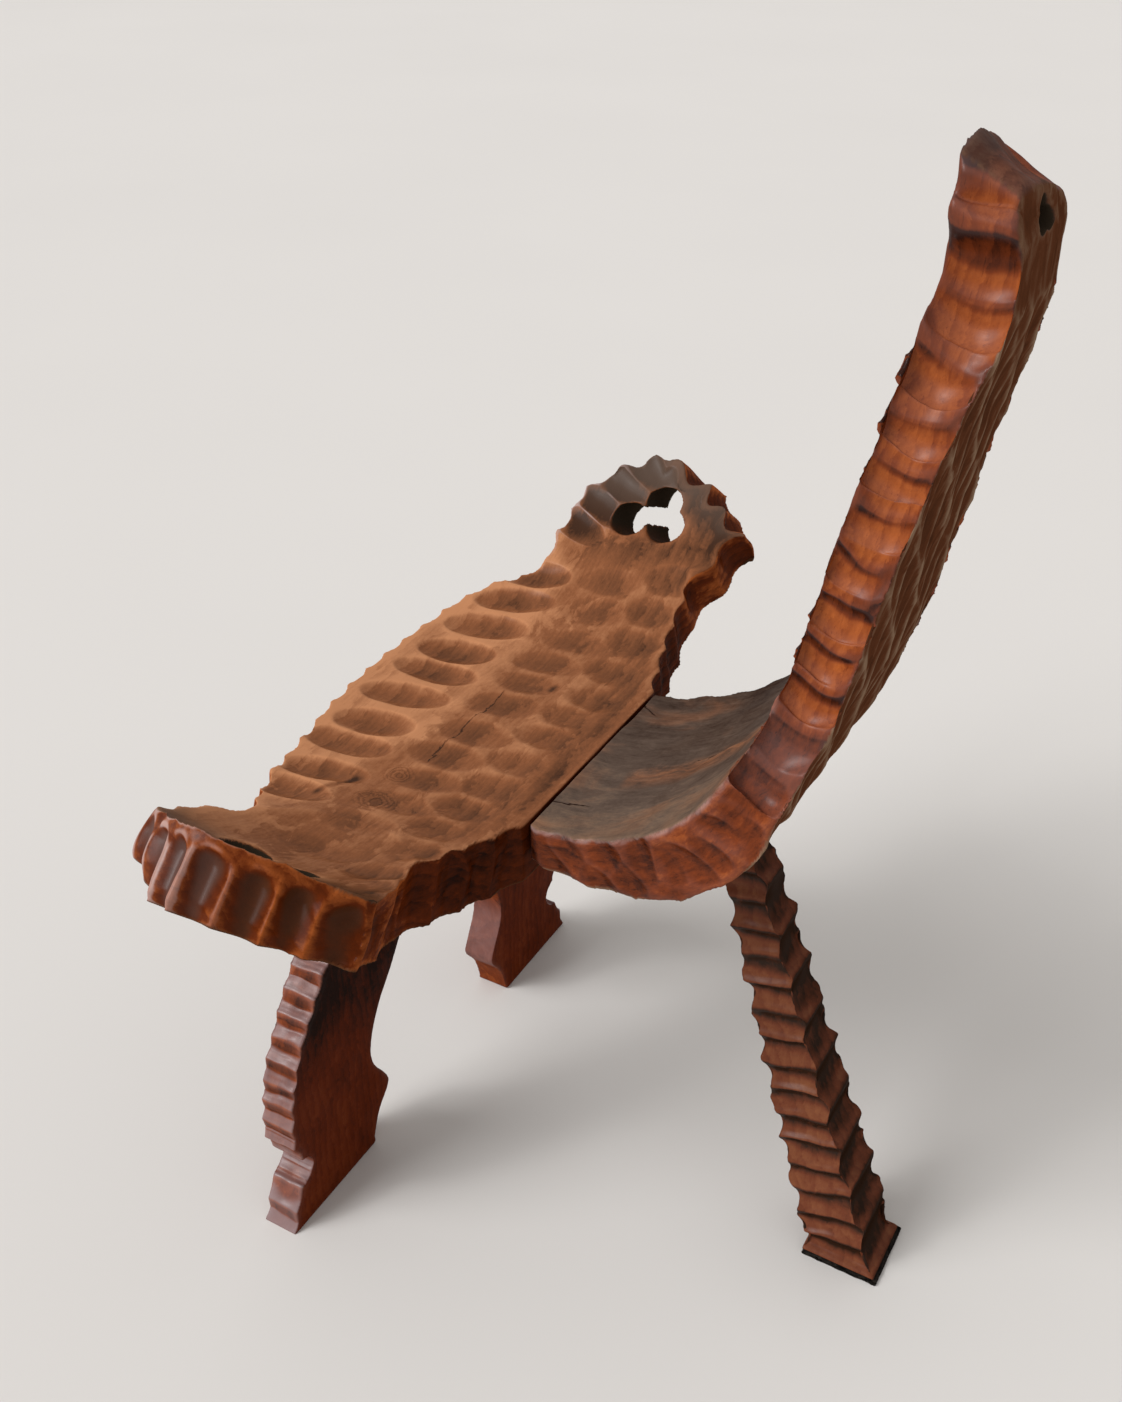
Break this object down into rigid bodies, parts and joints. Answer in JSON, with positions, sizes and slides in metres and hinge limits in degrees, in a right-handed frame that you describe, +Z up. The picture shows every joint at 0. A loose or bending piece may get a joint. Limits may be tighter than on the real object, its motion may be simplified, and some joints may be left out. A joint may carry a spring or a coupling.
{
  "type": "birthing chair",
  "caption": "Low carved wooden chair with a saddle seat, a narrow plank bent up into the back, profiled board legs in front and a leaning post leg behind.",
  "frame": {"origin": "bottom centre of the chair's box, on the floor", "axes": "+Z up, -Y the way the sitter faces, +X the sitter's left"},
  "size_m": [0.5478, 0.4002, 0.6958],
  "materials": {
    "seat_wood": "waxed, worn satin",
    "back_wood": "waxed, worn satin",
    "front_leg_wood": "dark wax, satin",
    "rear_leg_wood": "dark wax, satin",
    "foot_pad": "matt felt",
    "dowel_wood": "raw"
  },
  "bodies": {
    "root": {"seat_plank": "seat_wood", "back_plank": "back_wood", "front_leg_left": "front_leg_wood", "front_leg_right": "front_leg_wood", "rear_leg": "rear_leg_wood", "rear_foot_pad": "foot_pad", "seat_back_dowel_left": "dowel_wood", "seat_back_dowel_middle": "dowel_wood", "seat_back_dowel_right": "dowel_wood", "front_leg_left_dowel_inner": "dowel_wood", "front_leg_left_dowel_outer": "dowel_wood", "front_leg_right_dowel_inner": "dowel_wood", "front_leg_right_dowel_outer": "dowel_wood", "front_leg_seam_dowel_lower": "dowel_wood", "front_leg_seam_dowel_upper": "dowel_wood", "rear_leg_dowel_left": "dowel_wood", "rear_leg_dowel_right": "dowel_wood"}
  },
  "joints": []
}
